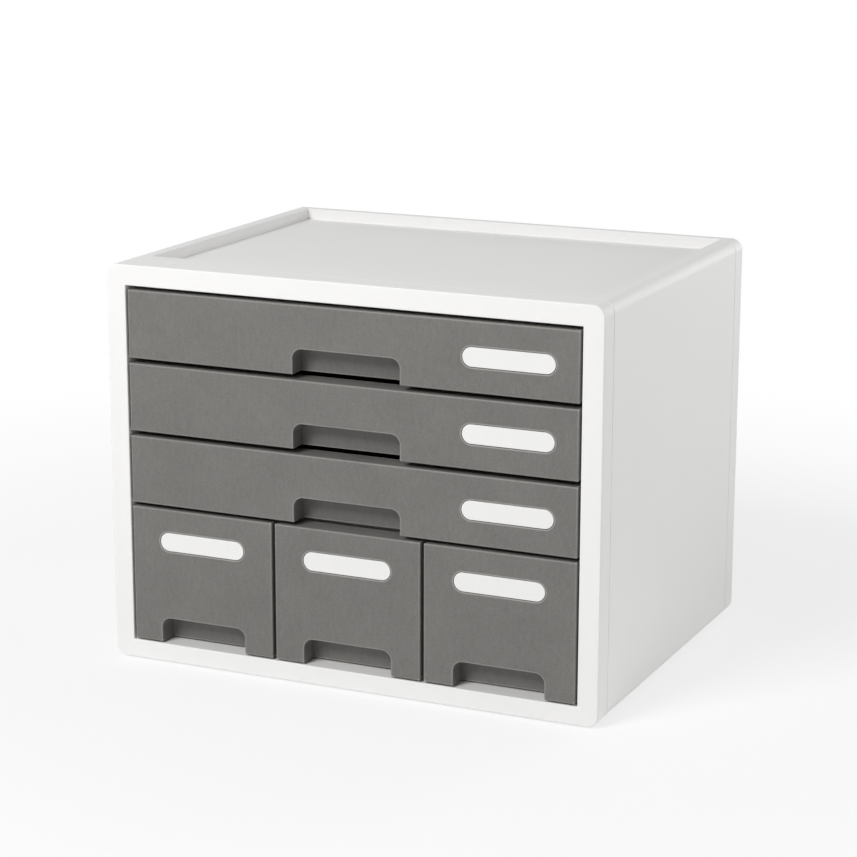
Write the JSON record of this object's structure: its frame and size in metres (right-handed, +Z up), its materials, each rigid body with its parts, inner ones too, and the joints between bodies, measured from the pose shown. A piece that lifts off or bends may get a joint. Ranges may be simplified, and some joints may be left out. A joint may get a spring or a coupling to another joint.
{
  "type": "desktop drawer cabinet",
  "caption": "Low desktop cabinet in pale moulded plastic with wide shallow drawers over a row of small deep drawers, finger pulls, label plates and a shallow tray in its top.",
  "frame": {"origin": "centre of the footprint, on the surface it stands on", "axes": "+Z up, -Y out of the drawer fronts, +X to the right seen from the front"},
  "size_m": [0.35, 0.27, 0.271],
  "materials": {
    "case_white": "fine matte moulded white",
    "drawer_grey": "fine spark-eroded matte warm grey",
    "tray_grey": "smooth moulded warm grey",
    "label_white": "satin white",
    "screw_steel": "zinc plated",
    "pad_rubber": "soft matte grey"
  },
  "bodies": {
    "case": {"front_frame": "case_white", "left_side_panel": "case_white", "right_side_panel": "case_white", "top_panel": "case_white", "bottom_panel": "case_white", "back_cover": "case_white", "back_screws": "screw_steel", "middle_shelf": "case_white", "left_partition": "case_white", "right_partition": "case_white", "foot_pads": "pad_rubber"},
    "top_wide_drawer": {"top_wide_front": "drawer_grey", "top_wide_tray": "tray_grey", "top_wide_label": "label_white"},
    "middle_wide_drawer": {"middle_wide_front": "drawer_grey", "middle_wide_tray": "tray_grey", "middle_wide_label": "label_white"},
    "lower_wide_drawer": {"lower_wide_front": "drawer_grey", "lower_wide_tray": "tray_grey", "lower_wide_label": "label_white"},
    "left_small_drawer": {"left_small_front": "drawer_grey", "left_small_tray": "tray_grey", "left_small_label": "label_white"},
    "centre_small_drawer": {"centre_small_front": "drawer_grey", "centre_small_tray": "tray_grey", "centre_small_label": "label_white"},
    "right_small_drawer": {"right_small_front": "drawer_grey", "right_small_tray": "tray_grey", "right_small_label": "label_white"}
  },
  "joints": [
    {"name": "top_wide_slide", "type": "slide", "parent": "case", "child": "top_wide_drawer", "axis": [0, -1, 0], "range_m": [0, 0.18]},
    {"name": "middle_wide_slide", "type": "slide", "parent": "case", "child": "middle_wide_drawer", "axis": [0, -1, 0], "range_m": [0, 0.18]},
    {"name": "lower_wide_slide", "type": "slide", "parent": "case", "child": "lower_wide_drawer", "axis": [0, -1, 0], "range_m": [0, 0.18]},
    {"name": "left_small_slide", "type": "slide", "parent": "case", "child": "left_small_drawer", "axis": [0, -1, 0], "range_m": [0, 0.18]},
    {"name": "centre_small_slide", "type": "slide", "parent": "case", "child": "centre_small_drawer", "axis": [0, -1, 0], "range_m": [0, 0.18]},
    {"name": "right_small_slide", "type": "slide", "parent": "case", "child": "right_small_drawer", "axis": [0, -1, 0], "range_m": [0, 0.18]}
  ]
}
